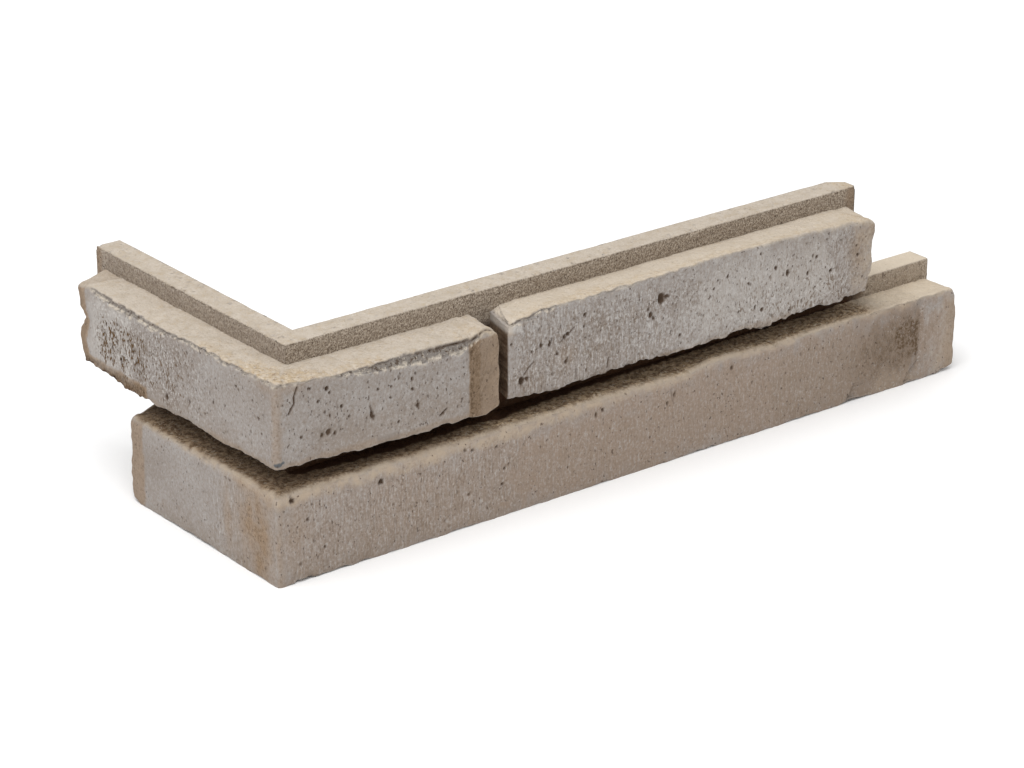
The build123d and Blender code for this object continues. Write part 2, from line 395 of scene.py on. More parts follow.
# Flecks inside soft boxes: noise in axes turned by lean, its tops above a cut kept
def flecks(grid, place, level, table, seed):
    marks = np.zeros(place.shape)
    for k, (box, wide, tall, lean, cut, strong) in enumerate(table):
        c, s = np.cos(np.radians(lean)), np.sin(np.radians(lean))
        turned = np.stack([place * c + level * s, level * c - place * s, 0 * place], -1)
        mark = ramp(fractal(turned, (wide, tall, 1.0), seed + 7 * k, 2), cut, cut + 0.3)
        marks = np.maximum(marks, strong * mark * patches(grid, place, level, [(*box, 1.0)], seed + 3 * k))
    return marks


# A shell-like ledge: the face drops past a line of (along, height) points and comes back over its reach
def ledges(place, level, table):
    drop = np.zeros(place.shape)
    for line, deep, reach in table:
        line = np.array(line, float)
        past = place - np.interp(level, line[:, 1], line[:, 0])
        low = 1 - ramp(level, line[-1, 1] - 2.5, line[-1, 1] + 1.5)
        drop = np.maximum(drop, deep * low * ramp(past, -0.5, 0.5) * np.exp(-np.maximum(past, 0) / reach))
    return drop


# The concrete: each coat of colour covers the last by a share from the piece's own values and from noise
def makeConcrete():
    look = {
        "face": (0.275, 0.241, 0.216),      # bare front faces, cool grey
        "faceLight": (0.375, 0.350, 0.333), # pale film left on them
        "faceWarm": (0.235, 0.180, 0.135),  # taupe where the film is thin
        "tan": (0.292, 0.222, 0.172),       # warmer stretch of the lower course
        "sandDark": (0.13, 0.10, 0.078),
        "top": (0.525, 0.462, 0.39),        # tops in the cream of the mix
        "topDark": (0.41, 0.345, 0.27),
        "topPale": (0.63, 0.54, 0.425),
        "crust": (0.47, 0.365, 0.24),       # ochre crust on the tops
        "lip": (0.47, 0.395, 0.315),        # front of the joint plate
        "lipDark": (0.215, 0.165, 0.122),
        "warm": (0.275, 0.195, 0.13),       # brown ends
        "beige": (0.42, 0.335, 0.25),
        "stain": (0.105, 0.067, 0.038),
        "fleck": (0.115, 0.068, 0.032),
        "floor": (0.50, 0.37, 0.235),       # shaded top of the lower course
        "floorDark": (0.17, 0.108, 0.058),
        "joint": (0.048, 0.020, 0.007),     # painted shade and dark dirt deep in the joints
        "torn": (0.19, 0.168, 0.148),       # broken arrises, their crumbs and the painted shade in their hollows
        "rim": (0.63, 0.555, 0.46),
        "hollowShade": (0.075, 0.048, 0.03),
        "chalk": (0.60, 0.57, 0.535),
        "slate": (0.095, 0.10, 0.105),
        # painted shade in pits, cracks and grain hollows, and the dark of the strip's nub
        "pit": (0.085, 0.055, 0.036),
        "bump": 0.0011,
        "bumpStrength": 0.8,
        "roughness": 0.88,
        "specular": 0.25,
    }
    material = bpy.data.materials.new("concrete")
    material.use_nodes = True
    tree = material.node_tree
    shader = tree.nodes["Principled BSDF"]
    shader.inputs["Roughness"].default_value = look["roughness"]
    shader.inputs["Specular IOR Level"].default_value = look["specular"]
    objectPlace = tree.nodes.new("ShaderNodeTexCoord").outputs["Object"]

    def attribute(name):
        made = tree.nodes.new("ShaderNodeAttribute")
        made.attribute_name = name
        return made.outputs["Fac"]

    def pattern(scale, detail, rough):
        mapping = tree.nodes.new("ShaderNodeMapping")
        mapping.inputs["Scale"].default_value = scale
        made = tree.nodes.new("ShaderNodeTexNoise")
        made.inputs["Scale"].default_value = 1.0
        made.inputs["Detail"].default_value = detail
        made.inputs["Roughness"].default_value = rough
        tree.links.new(objectPlace, mapping.inputs["Vector"])
        tree.links.new(mapping.outputs["Vector"], made.inputs["Vector"])
        return made.outputs["Fac"]

    def spread(value, low, high, to=1.0):
        made = tree.nodes.new("ShaderNodeMapRange")
        made.inputs["From Min"].default_value = low
        made.inputs["From Max"].default_value = high
        made.inputs["To Max"].default_value = to
        tree.links.new(value, made.inputs["Value"])
        return made.outputs["Result"]

    def combine(kind, a, b):
        made = tree.nodes.new("ShaderNodeMath")
        made.operation = kind
        for socket, value in zip(made.inputs, (a, b)):
            if isinstance(value, (int, float)):
                socket.default_value = value
            else:
                tree.links.new(value, socket)
        return made.outputs["Value"]

    def blendColour(share, a, b):
        made = tree.nodes.new("ShaderNodeMix")
        made.data_type = "RGBA"
        sockets = [s for s in made.inputs if s.enabled and s.type == "RGBA"]
        tree.links.new(share, made.inputs["Factor"])
        for socket, value in zip(sockets, (a, b)):
            if isinstance(value, str):
                socket.default_value = (*look[value], 1)
            else:
                tree.links.new(value, socket)
        return next(s for s in made.outputs if s.enabled and s.type == "RGBA")

    def times(a, b):
        return combine("MULTIPLY", a, b)

    # Noise by its cells per metre, its detail and its roughness
    streak = pattern((850, 850, 80), 4.0, 0.65)
    thread = pattern((900, 900, 210), 1.5, 0.5)
    grain = pattern((760, 760, 620), 2.0, 0.7)
    fine = pattern((1300, 1300, 1100), 1.0, 0.5)
    speck = pattern((700, 700, 480), 1.0, 0.5)
    crumb = pattern((1180, 1180, 900), 2.0, 0.7)
    lace = pattern((520, 520, 640), 2.5, 0.6)
    needle = pattern((980, 980, 400), 1.5, 0.5)
    cluster = pattern((230, 230, 130), 2.0, 0.6)
    wrinkle = pattern((300, 300, 300), 3.0, 0.75)
    cloud = pattern((26, 26, 34), 4.0, 0.55)
    mottle = pattern((150, 150, 150), 5.0, 0.7)
    names = [
        "upper", "lip", "warm", "stain", "joint", "chalk", "pit", "taupe", "drawn", "slate", "crust",
        "floor", "beige", "torn", "rim", "fleck", "sand", "tan", "pale",
    ]
    mask = {name: attribute(name) for name in names}

    # Coats over a colour, one after the other: (colour, the piece's value that carries it or None for all
    # over, strength, and the noise that breaks it up with its low and high)
    def lay(under, coats):
        for coat, carrier, strength, *broken in coats:
            share = spread(*broken, strength) if broken else strength
            share = times(mask[carrier], share) if carrier else share
            under = blendColour(share, under, coat)
        return under

    face = lay("face", [
        ("faceLight", None, 0.55, cloud, 0.36, 0.64),
        ("tan", "tan", 1.0),
        ("faceWarm", "taupe", 0.85),
        ("faceLight", "drawn", 0.75, streak, 0.48, 0.64),
        ("faceWarm", "drawn", 0.55, streak, 0.46, 0.32),
        ("chalk", "drawn", 0.5, thread, 0.58, 0.70),
        ("sandDark", "drawn", 0.4, thread, 0.40, 0.31),
        ("faceWarm", None, 0.5, grain, 0.50, 0.70),
        ("faceLight", None, 0.35, grain, 0.46, 0.30),
        ("chalk", "sand", 1.0, grain, 0.46, 0.32),
        ("sandDark", "sand", 1.0, grain, 0.54, 0.68),
    ])
    top = lay("top", [
        ("topDark", None, 0.75, mottle, 0.42, 0.68),
        ("topDark", None, 0.5, grain, 0.50, 0.66),
        ("crust", None, 0.25, fine, 0.52, 0.66),
        ("crust", None, 0.35, wrinkle, 0.56, 0.64),
        # paler tops, and painted light where the lower course comes out past the upper one
        ("topPale", "pale", 0.85),
        ("crust", "crust", 1.0, wrinkle, 0.36, 0.56),
        ("warm", "crust", 0.9, lace, 0.56, 0.66),
        ("topPale", "crust", 0.7, lace, 0.44, 0.34),
    ])
    shaded = lay("floor", [
        ("floorDark", None, 1.0, wrinkle, 0.42, 0.58),
        ("floorDark", None, 0.6, lace, 0.54, 0.66),
        ("topPale", None, 0.7, lace, 0.44, 0.34),
    ])
    colour = blendColour(mask["upper"], face, top)
    colour = blendColour(mask["floor"], colour, shaded)
    colour = blendColour(mask["lip"], colour, lay("lip", [("lipDark", None, 1.0, crumb, 0.41, 0.59)]))
    colour = lay(colour, [
        # beige tone, and painted highlight on the lower course's arris and on the joint strip past the
        # upper course
        ("beige", "beige", 1.0, mottle, 0.75, 0.40),
        ("warm", "warm", 1.0),
        ("stain", "warm", 0.55, grain, 0.5, 0.68),
        ("beige", "warm", 0.3, lace, 0.46, 0.35),
        ("stain", "stain", 1.0, grain, 0.64, 0.42),
        ("chalk", "chalk", 1.0),
        ("torn", "torn", 0.85),
        ("rim", "torn", 0.5, grain, 0.56, 0.70),
        # painted shade in the hollows of a torn arris, where the bump is low
        ("hollowShade", "torn", 0.85, lace, 0.46, 0.37),
        ("rim", "rim", 1.0, grain, 0.32, 0.46),
    ])
    cut = combine("ADD", needle, times(mask["fleck"], 0.09))
    cut = combine("ADD", cut, times(combine("SUBTRACT", cluster, 0.5), 0.6))
    colour = blendColour(times(spread(mask["fleck"], 0.0, 0.3), spread(cut, 0.60, 0.66)), colour, "fleck")
    colour = blendColour(mask["slate"], colour, "slate")
    # Small pinholes, sunk by the bump and with painted shade in them, fewer on tops
    pinholeShade = times(spread(speck, 0.70, 0.77), combine("SUBTRACT", 0.75, times(mask["upper"], 0.5)))
    colour = blendColour(pinholeShade, colour, "pit")
    # Painted shade and dark dirt deep in the joints, under the upper course and along the feet
    colour = blendColour(mask["joint"], colour, "joint")
    # Painted shade in pits, cracks, grain hollows and the fissure
    colour = blendColour(mask["pit"], colour, "pit")
    tree.links.new(colour, shader.inputs["Base Color"])

    sandy = times(grain, combine("ADD", times(mask["sand"], 0.6), 0.5))
    height = combine("ADD", sandy, times(streak, times(mask["drawn"], 0.35)))
    height = combine("ADD", height, times(crumb, combine("ADD", times(mask["lip"], 1.3), 0.2)))
    height = combine("ADD", height, times(lace, combine("ADD", mask["floor"], times(mask["torn"], 1.6))))
    height = combine("ADD", height, times(wrinkle, times(mask["upper"], 1.4)))
    height = combine("SUBTRACT", height, times(spread(cut, 0.59, 0.65), times(mask["fleck"], 0.5)))
    height = combine("SUBTRACT", height, times(pinholeShade, 0.8))
    bump = tree.nodes.new("ShaderNodeBump")
    bump.inputs["Distance"].default_value = look["bump"]
    bump.inputs["Strength"].default_value = look["bumpStrength"]
    tree.links.new(height, bump.inputs["Height"])
    tree.links.new(bump.outputs["Normal"], shader.inputs["Normal"])
    return material


concrete = makeConcrete()
print("material made")


# Top of the lower course: painted shade and brown dirt under the upper one, darkest at the plate, a beige
# band at its arris that is partly painted highlight, and painted light past the upper one
def lowerTopShadeAndLight(values, grid, place, level, depth, over, upper):
    covered = 1 - ramp(place, 398, 412)
    fray = fractal(grid, (7.0, 7.0, 7.0), 51, 3)
    small = fractal(grid, (2.2, 2.2, 2.2), 52, 2)
    reached = wave(place, [(-140, 4.0), (-10, 4.5), (10, 5.5), (150, 6.0), (400, 6.0)])
    # painted shade and brown dirt on the top under the upper course, growing from the arris back to the
    # plate
    values["floor"] = ramp((over + 1.6 * fray + 0.5 * small) / reached, -0.3, 1.0) * covered
    inside = np.minimum(grid[..., 0], grid[..., 1])
    deep = wave(place, [
        (-160, 23.0), (-12, 22.0), (-2, 20.0), (8, 18.0), (22, 16.0), (45, 13.5), (72, 12.0), (95, 11.4),
        (120, 13.0), (138, 13.0), (147, 9.5), (156, 12.5), (189, 15.0), (250, 18.0), (380, 20.4),
        (400, 22.0),
    ])
    # painted shade and dark dirt, near black from the depth where the dark core begins, and more of it on
    # the left part
    values["joint"] = ramp(inside + 0.9 * small + 0.6 * fray, deep - 1.2, deep + 1.2) * upper * covered
    values["joint"] = np.maximum(values["joint"], 0.42 * values["floor"] * (1 - ramp(place, 100, 150)))
    # beige band on the rounded arris: beige tone and painted highlight where the arris turns up to the
    # light
    bandOffset = wave(place, [
        (-135, 0.0), (-119, -0.5), (-60, -2.5), (0, -6.5), (140, -6.5), (275, -3.5), (400, -2.0),
        (470, -2.0),
    ])
    band = ramp(over + 2.0 * fray, bandOffset - 2.5, bandOffset + 2.5) * (1 - 0.8 * ramp(over, 3, 8) * (1 - covered))
    # painted light on the top where it comes out past the upper course
    litPastUpper = ramp(place, 400, 425) * upper
    values["pale"] = litPastUpper
    values["beige"] = np.maximum(values["beige"], 0.9 * band) * (1 - 0.85 * values["floor"])
    values["beige"] *= 1 - 0.6 * litPastUpper
    end, middle, wide, tall = 438, 27, 38, 17             # dark stain that stops sharply at its right
    shadow = 1 - ramp(place + 0.6 * fray, end - 1.0, end + 1.6)
    shadow = shadow * np.exp(-((end - place) / wide) ** 2 - ((level - middle) / tall) ** 2)
    mottled = 1 + 0.55 * fractal(grid, (2.4, 2.4, 3.6), 53, 3)
    values["stain"] = np.maximum(values["stain"], 1.2 * shadow * mottled)


# The bricks. The steps are the mesh's: along the brick, up its face and back over its top. The inner
# box is the plan they are buried at. Arris and arrisDeep are its height and depth, soft and creep shape
# the change from face to top, and tear is the width of a torn arris.
# A table holds (along, value), and an end's table (height, how far the end stands back). Boxes are
# (from, to, low, high, softness, share), spots (along, height, half width, half height, share) and holes
# (along, height, radius, tallness, depth). Cracks are a line of (along, height) and its depth, ledges
# also their reach, flecks (box, width, height, lean, cut, share), and scattered holes the seed, count,
# stretch, heights, radii and depth.

# Lower course: one brick that turns the corner
lowerBrick = {
    "name": "lowerBrick", "origin": 0.0, "seed": 11, "step": 0.78, "rowStep": 0.78, "topStep": 1.1,
    "plan": [(buried, 142), (0, 136.8), (0, 0), (468.2, 0), (468.2, buried)],
    "planRadii": (7.0, 2.5, 1.2), "innerLow": (buried, buried), "innerHigh": (456.0, 124.0),
    "top": slip["lowerTop"], "foot": 0.8, "footRadius": 0.7, "footJag": 0.5,
    "topWaves": [
        (-160, -1.0), (-140, -3.0), (-131, -2.0), (-100, -1.5), (-60, -0.5), (0, 0.0), (60, 0.0),
        (140, -0.5), (200, -0.3), (262, -1.5), (290, 1.2), (332, -0.4), (385, 0.5), (426, 0.4), (445, 0.6),
        (468, 0.4), (492, 0.0),
    ],
    "footWaves": [
        (-160, 1.5), (-131, 0.8), (-127, -0.8), (-104, -0.8), (-98, -0.4), (-90, 0.2), (-80, 0.3),
        (-70, -0.1), (-59, 0.2), (-54, -0.7), (-43, -0.8), (-6, -0.6), (3, -0.7), (7, 0.1), (11, 0.6),
        (18, 0.4), (22, -0.3), (25, 0.2), (33, -0.1), (40, 0.7), (44, -0.3), (51, -0.4), (55, -0.8),
        (246, -0.8), (267, -0.6), (271, -0.4), (275, 0.2), (280, -0.5), (284, 0.2), (288, -0.8),
        (328, -0.7), (355, -0.3), (377, -0.2), (382, 0.3), (386, 1.1), (391, 0.6), (396, -0.3), (405, -0.8),
        (428, -0.8), (433, -0.1), (438, -0.3), (442, -0.8), (452, -0.6), (457, -0.3), (461, 1.2),
        (465, 2.2), (469, 3.6), (492, 0.5),
    ],
    "soft": 1.0, "footDark": 0.15,
    "arris": [
        (-131, 4.6), (0, 4.6), (262, 4.6), (290, 3.0), (332, 3.6), (385, 2.6), (440, 2.4), (468, 3.0),
    ],
    "arrisDeep": [
        (-131, 4.0), (0, 5.0), (262, 5.0), (290, 3.6), (332, 4.0), (385, 2.8), (440, 2.4), (468, 3.0),
    ],
    "ragged": 0.8, "swell": 0.3, "grain": 0.1, "rolling": 0.35,
    "footRough": [(-160, 0.3), (0, 0.2), (12, 0.8), (40, 0.6), (60, 0.25), (490, 0.3)],
    "leftEnd": [
        (0, 2.4), (1.8, 1.0), (4.8, 0.0), (8.1, -0.4), (11.7, -0.1), (14.7, -1.2), (18.4, -0.6),
        (21.6, -1.0), (25.3, -0.2), (28.8, -0.2), (32.2, -0.2), (35.3, -1.0), (38.9, -0.5), (42.3, -0.6),
        (45.8, -0.5), (50.6, 1.0),
    ],
    "rightEnd": [
        (0, 4.0), (1.7, 2.5), (3.7, 0.3), (7.3, 0.0), (11, -0.1), (15, 0.8), (18.6, 0.3), (22.3, 0.4),
        (25.8, 0.0), (29.6, 0.2), (33, -0.2), (36.9, 0.0), (40.9, 1.0), (44.7, 1.2), (48.7, 2.2), (51, 3.0),
    ],
    "cracks": [
        ([(254, 42), (255.5, 36), (256.5, 33)], 0.3), ([(8.0, 46.5), (6.6, 48.8)], 0.7),
        ([(383.9, 1.2), (387.5, 6.3), (389.5, 10.0)], 0.9),
        ([(428.8, 1.8), (432.3, 7.0), (437.5, 11.9)], 0.8),
    ],
    "ledges": [
        ([(383.7, 1.2), (387.3, 6.3), (389.3, 10.0)], 2.4, 10.0),
        ([(428.6, 1.8), (432.1, 7.0), (437.3, 11.9)], 2.2, 9.0),
    ],
    "flecks": [
        ((15, 150, 3, 40, 8), 0.9, 4.5, 0, 0.8, 0.5), ((150, 340, 6, 40, 8), 0.9, 3.5, 0, 0.9, 0.45),
        ((382, 437, 5, 42, 6), 1.0, 1.5, 0, 0.45, 0.5), ((-118, -5, 3, 42, 6), 0.9, 1.5, 0, 0.95, 0.35),
    ],
    "fleckBrown": 0.7,
    "paint": {
        "warm": {
            "boxes": [
                (-170, -122.0, -5, 60, 1.2, 0.72), (458, 500, -5, 44, 4.0, 0.5),
                (-1.5, 3, -5, 44, 1.5, 0.4),
            ],
            "spots": [
                (-15, 22, 10, 30, 1.0), (-27, 30, 13, 24, 0.75), (-10, 40, 8, 10, 0.5),
                (-44, 26, 4.5, 20, 0.5), (-35, 14, 4, 14, 0.4), (10, 28, 7, 16, 0.3),
            ],
        },
        "taupe": {
            "boxes": [
                (150, 330, -5, 34, 12, 0.35), (0, 150, -5, 14, 8, 0.5), (330, 440, -5, 40, 12, 0.75),
                (40, 150, 4, 30, 12, 0.35), (-120, -5, -5, 10, 6, 0.3),
            ],
        },
        "drawn": {
            "boxes": [
                (-60, -5, 0, 48, 10, 0.6), (5, 150, 0, 48, 10, 0.6), (150, 395, 0, 48, 14, 0.32),
                (440, 470, 0, 48, 10, 0.3),
            ],
        },
        "tan": {
            "boxes": [(4, 60, -5, 50, 8, 0.55), (50, 150, -5, 50, 14, 0.75), (140, 452, -5, 50, 16, 1.0)],
        },
        "beige": {"boxes": [(452, 500, -5, 44, 8.0, 0.55), (405, 440, -2, 12, 5, 0.35)]},
        "sand": {
            "boxes": [
                (-119, -2, -5, 50, 3, 0.08), (2, 150, -5, 50, 6, 0.14), (150, 402, -5, 50, 8, 0.1),
                (402, 442, -5, 46, 3, 0.35), (442, 500, -5, 50, 4, 0.08),
            ],
        },
        "fleck": {
            "boxes": [(18, 150, 4, 42, 8, 0.1), (-60, -5, 3, 40, 8, 0.06), (385, 437, 8, 42, 6, 0.09)],
        },
    },
    "crust": {"boxes": [(405, 500, 3, 30, 4, 0.2), (-125, 402, 3, 30, 3, 0.25)]},
    "holes": [
        (8.4, 45.4, 1.3, 1.0, 1.6), (62.8, 40.9, 1.4, 1.0, 1.8), (17.7, 33.0, 0.7, 1.4, 0.8),
        (27.7, 15.3, 0.7, 1.3, 0.8), (256.9, 38.3, 0.6, 3.5, 0.8), (252.1, 34.3, 0.7, 1.5, 0.8),
        (297.2, 43.3, 0.9, 1.4, 1.0), (120.6, 42.5, 0.8, 1.2, 1.0), (115.3, 43.9, 0.6, 1.2, 0.8),
        (136.3, 40.4, 0.7, 1.0, 0.8), (141.4, 26.8, 0.8, 1.0, 0.9), (118.1, 18.8, 0.7, 1.2, 0.7),
        (140.2, 18.4, 0.9, 0.7, 0.8), (206.8, 42.6, 0.9, 1.0, 1.0), (202.5, 40.8, 0.6, 3.0, 0.8),
    ],
    "scattered": (5, 40, (-116, 465), (4, 44), (0.45, 0.7), 0.6),
    "shadeAndLightPaint": lowerTopShadeAndLight,
}

# Upper course, left: turns the corner, with a rough patch on the short leg and a torn arris on the long one
cornerBrick = {
    "name": "cornerBrick", "origin": 0.0, "seed": 23, "step": 0.53, "rowStep": 0.53, "topStep": 0.85,
    "plan": [(buried, 188), (0, 182), (0, 0), (139.7, 0), (140.3, buried)],
    "planRadii": (8.0, 2.5, 2.0), "innerLow": (buried, buried), "innerHigh": (127.5, 170.0),
    "top": slip["upperTop"], "foot": slip["upperFoot"], "footRadius": 0.8, "footJag": 0.7,
    "topWaves": [
        (-206, 0.0), (-184, -2.0), (-170, 0.6), (-140, 0.3), (-106, -0.9), (-66, 1.0), (-31, 0.9), (0, 1.6),
        (21, 0.0), (43, -2.0), (57, -2.0), (73, -1.4), (100, -2.0), (119, -2.8), (131, -0.2), (136, -1.2),
        (139, -3.0), (163, 0.0),
    ],
    "footWaves": [
        (-200, 0.0), (-175, -0.5), (-160, -0.5), (-144, -1.7), (-121, -3.0), (-109, -2.1), (-80, -1.2),
        (-50, -1.5), (0, -0.6), (16, -1.4), (26, -0.6), (31, -2.2), (38, -1.8), (46, -3.2), (56, -2.7),
        (64, -3.0), (72, -3.6), (78, -4.8), (88, -3.9), (95, -4.4), (106, -3.4), (114, -3.6), (121, -4.0),
        (129, -4.0), (134, -3.0), (137.5, -1.4), (139.5, 1.5), (163, 0.0),
    ],
    "arris": [
        (-180, 2.6), (-168, 3.0), (-150, 4.0), (-105, 4.0), (-95, 2.0), (-60, 1.6), (0, 2.4), (40, 1.8),
        (60, 3.6), (78, 6.0), (112, 6.6), (124, 4.0), (137, 3.8),
    ],
    "arrisDeep": [
        (-180, 3.0), (-165, 2.2), (-150, 2.6), (-105, 2.6), (-95, 1.6), (-60, 1.4), (0, 2.4), (40, 1.6),
        (60, 2.0), (78, 2.6), (112, 2.8), (124, 3.0), (137, 4.0),
    ],
    "soft": [
        (-200, 2.5), (-178, 2.2), (-160, 1.8), (-60, 1.3), (0, 0.9), (118, 0.9), (127, 2.5), (163, 3.0),
    ],
    "footDark": [(-200, 0.5), (-180, 0.9), (-122, 0.95), (-112, 0.1), (0, 0.0), (163, 0.0)],
    "flat": [
        (-180, 0.0), (-160, 0.7), (-105, 0.7), (-95, 0.2), (40, 0.2), (60, 0.7), (118, 0.7), (126, 0.0),
    ],
    "ragged": 1.2,
    "tear": [
        (-172, 0.0), (-164, 1.6), (-150, 2.6), (-132, 3.2), (-118, 1.6), (-105, 2.6), (-92, 1.2),
        (-60, 1.0), (-35, 0.9), (-20, 0.7), (0, 0.9), (20, 0.7), (30, 0.3), (44, 1.6), (56, 3.4), (75, 5.4),
        (90, 6.4), (112, 6.8), (121, 3.4), (128, 0.0),
    ],
    "creep": [
        (-200, 1.5), (-175, 1.5), (-168, 0.0), (-30, 0.0), (0, 1.2), (20, 0.2), (118, 0.0), (127, 2.5),
        (139, 6.0), (163, 6.0),
    ],
    "fissure": [
        (-200, 0.0), (-166, 0.1), (-150, 0.3), (-90, 0.25), (-40, 0.2), (-20, 0.1), (44, 0.1), (76, 0.7),
        (100, 1.1), (124, 1.2), (134, 0.9), (140, 0.3), (163, 0.0),
    ],
    "swell": 0.3, "grain": 0.13, "rolling": 0.45,
    "footRough": [(-200, 0.6), (-175, 1.0), (-118, 1.0), (-110, 0.4), (139, 0.4)],
    "leftEnd": [
        (60, 2.0), (65.1, 1.3), (68.3, 0.4), (71.4, -0.5), (74.5, -1.5), (77.6, -2.2), (81.3, -1.3),
        (85.8, 2.0), (89.7, 4.4), (92.4, 2.0), (94.9, -1.1), (98.3, -1.1), (101.4, -1.9), (104.3, -3.0),
        (108.2, -1.5), (112, 0.0),
    ],
    "rightEnd": [(60, 1.0), (66, 0.3), (72, 0.7), (81, 0.2), (88, 0.8), (95, 0.3), (101, 0.8), (107, 2.2)],
    "cracks": [
        ([(12.7, 105.5), (10.6, 100.6), (10.9, 97.3), (7.5, 92.4)], 0.9),
        ([(100.3, 67.3), (104.2, 70.0)], 1.0), ([(56.6, 84.0), (57.9, 79.0), (58.6, 76.3)], 0.7),
        ([(86.0, 79.4), (86.6, 74.6)], 0.7),
    ],
    "flecks": [
        ((-161, -119, 71, 95, 4), 1.0, 3.6, 12, 0.4, 0.9),
        ((-128, -72, 68, 100, 8), 1.0, 1.8, 0, 0.45, 0.6), ((-75, -5, 66, 103, 8), 0.9, 1.5, 0, 0.8, 0.45),
        ((8, 130, 68, 103, 6), 0.9, 1.5, 0, 0.75, 0.55), ((22, 44, 72, 80, 3), 1.2, 1.8, -30, 0.3, 0.8),
        ((119.5, 139, 65, 103, 1), 0.9, 1.5, 0, 0.5, 0.6),
    ],
    "fleckBrown": [(-170, 0.8), (-118, 0.8), (-110, 0.5), (0, 0.6), (139, 0.7)],
    "paint": {
        "warm": {
            "boxes": [
                (-220, -172.5, 60, 110, 0.9, 1.0), (-180, -116, 58, 69.6, 1.0, 1.0),
                (118.6, 126, 60, 103, 0.5, 1.0), (118.8, 150, 60, 103, 0.8, 0.75),
                (-3.5, 3, 62, 108, 2.0, 0.4), (-60, 60, 58, 66, 1.8, 0.5), (30, 139, 58, 64, 1.2, 0.45),
                (-120, -60, 58, 64.5, 1.2, 0.4),
            ],
            "spots": [(4, 106, 22, 3, 0.4)],
        },
        "beige": {"boxes": [(119, 170, 58, 112, 0.8, 0.3), (133, 170, 58, 112, 3.0, 0.7)]},
        "stain": {
            "boxes": [
                (-180, -118, 56, 68.5, 0.9, 1.0), (118.9, 122.0, 60, 102, 0.7, 0.95),
                (118.9, 128, 60, 101, 2.0, 0.7), (118.9, 138, 62, 101, 3.0, 0.35),
                (-220, -174, 60, 104, 1.0, 0.34), (60, 74, 56, 66, 1.0, 0.4),
            ],
            "spots": [(-145, 65.5, 22, 3.2, 1.2), (130, 96, 1.4, 2.4, 0.7), (136, 84, 1.0, 3.0, 0.6)],
        },
        "chalk": {
            "boxes": [(-170, -128, 68, 104, 4, 0.24)],
            "spots": [(-163, 82, 7, 16, 0.3), (-150, 101, 16, 5, 0.45)],
        },
        "taupe": {"boxes": [(20, 118, 62, 80, 9, 0.4), (-120, -10, 62, 72, 8, 0.3)]},
        "drawn": {"boxes": [(50, 119, 64, 106, 10, 0.2)]},
        "slate": {"spots": [(0.6, 66.8, 2.3, 1.2, 1.1), (3.4, 67.6, 1.2, 0.8, 0.9)]},
        "fleck": {
            "boxes": [
                (-158, -116, 72, 96, 4, 0.6), (-114, -76, 68, 101, 8, 0.25), (120, 139, 65, 103, 1.5, 0.07),
            ],
            "spots": [(-149, 85, 10, 9, 1.5), (-135, 80, 12, 8, 1.6), (-126, 80, 9, 7, 1.3)],
        },
        "sand": {
            "boxes": [
                (-164, -84, 67, 105, 5, 0.6), (-90, -60, 66, 105, 8, 0.3), (-70, -2, 62, 106, 8, 0.14),
                (2, 119, 62, 106, 3, 0.12),
            ],
        },
    },
    "crust": {
        "boxes": [
            (-34, 26, -3, 13, 5, 0.9), (22, 66, -2, 9, 4, 0.5), (-70, -32, -2, 7, 4, 0.5),
            (112, 142, -3, 10, 6, 0.35),
        ],
    },
    "holes": [
        (30.2, 100.2, 1.0, 1.2, 1.4), (31.9, 97.7, 0.7, 1.2, 0.9), (19.2, 103.1, 0.6, 1.3, 0.8),
        (39.3, 88.5, 0.9, 1.2, 1.0), (57.5, 79.6, 0.9, 2.0, 1.4), (58.4, 78.0, 1.3, 0.8, 1.2),
        (31.3, 76.8, 1.6, 1.0, 1.1), (27.5, 76.0, 1.0, 1.2, 0.9), (35.0, 75.2, 1.0, 1.2, 0.9),
        (86.4, 76.8, 1.0, 1.3, 1.2), (74.0, 70.8, 0.8, 1.1, 0.9), (102.0, 68.4, 0.9, 0.8, 1.0),
        (20.3, 102.5, 0.6, 1.2, 0.8), (25.0, 94.6, 0.7, 1.2, 0.8), (32.0, 85.4, 0.6, 1.8, 0.8),
        (43.8, 81.7, 0.7, 1.2, 0.8), (82.4, 92.1, 0.8, 1.3, 0.9), (83.0, 86.6, 0.9, 1.0, 0.9),
        (69.6, 91.1, 0.7, 1.2, 0.8), (61.4, 91.9, 0.7, 1.2, 0.8), (69.1, 85.3, 0.7, 1.0, 0.8),
        (14.7, 78.3, 0.7, 1.2, 0.8), (10.9, 99.0, 0.45, 6.0, 0.8), (8.6, 94.0, 0.4, 4.0, 0.7),
        (-19.1, 95.5, 0.6, 1.2, 0.7), (-14.5, 87.6, 1.0, 0.7, 0.7), (-77.7, 101.5, 0.7, 1.2, 0.8),
        (-33.5, 98.2, 0.9, 0.9, 0.9), (-97.4, 70.7, 1.3, 1.1, 1.2), (-76.4, 75.1, 0.8, 1.1, 0.9),
        (-54.7, 82.5, 0.8, 1.2, 0.9), (-43.8, 84.3, 0.7, 1.2, 0.8), (-148.9, 81.5, 0.8, 2.0, 0.9),
        (-140.6, 76.5, 0.9, 1.8, 1.0), (-132.7, 89.2, 0.6, 2.2, 0.8), (-128.4, 85.2, 0.6, 2.0, 0.8),
        (-125.8, 80.4, 0.6, 2.2, 0.8), (-153.5, 92.6, 0.6, 2.2, 0.8),
    ],
    "scattered": (6, 90, (-116, 130), (66, 103), (0.4, 0.65), 0.6),
}


